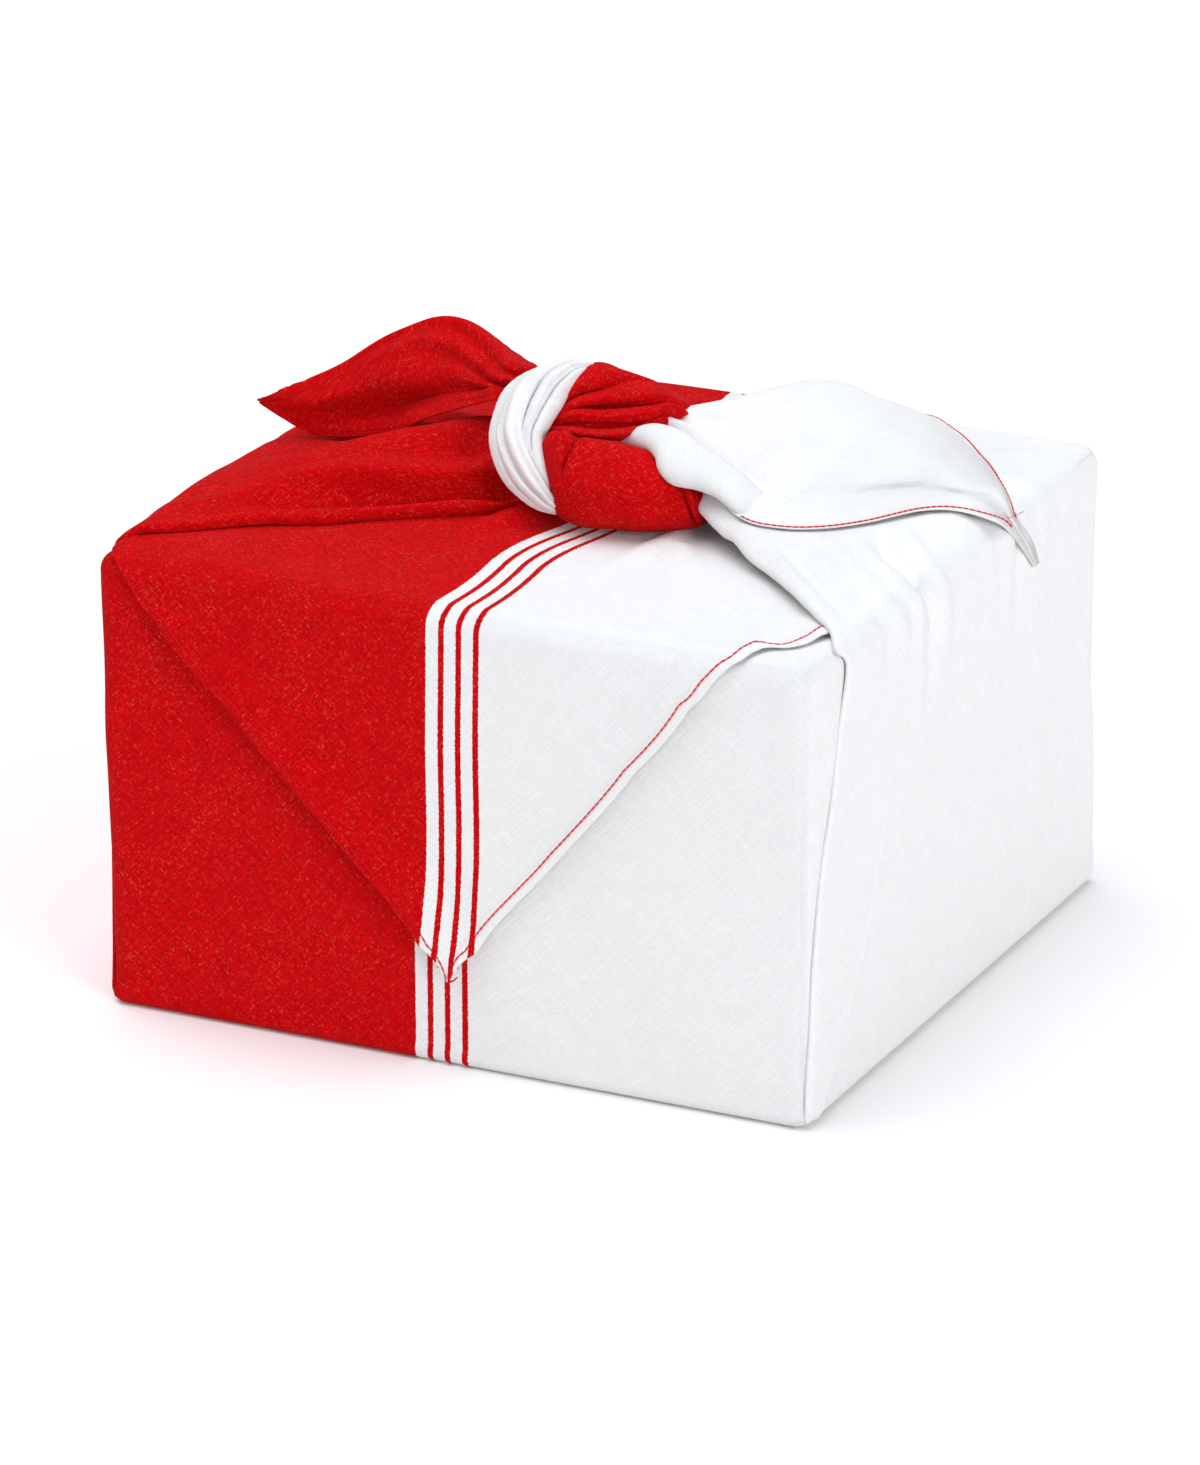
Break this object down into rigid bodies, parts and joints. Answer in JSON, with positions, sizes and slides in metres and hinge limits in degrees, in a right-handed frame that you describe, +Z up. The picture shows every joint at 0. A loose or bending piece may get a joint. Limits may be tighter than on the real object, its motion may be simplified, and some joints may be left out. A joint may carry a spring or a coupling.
{
  "type": "furoshiki wrap",
  "caption": "Square wrapping cloth, half red and half white, folded round a box-shaped parcel, with a pointed flap down the front and the side corners tied in a knot with loose ears on top.",
  "frame": {"origin": "on the ground under the middle of the wrapped parcel", "axes": "+X to the right along the front face, +Y to the back, +Z up"},
  "size_m": [0.2784, 0.263, 0.2281],
  "materials": {
    "linen": "matt slubby plain weave, half red and half off-white along its diagonal, with narrow red stripes beside the join and a narrow stitched hem"
  },
  "bodies": {
    "root": {"wrap_cloth": "linen"}
  },
  "joints": []
}
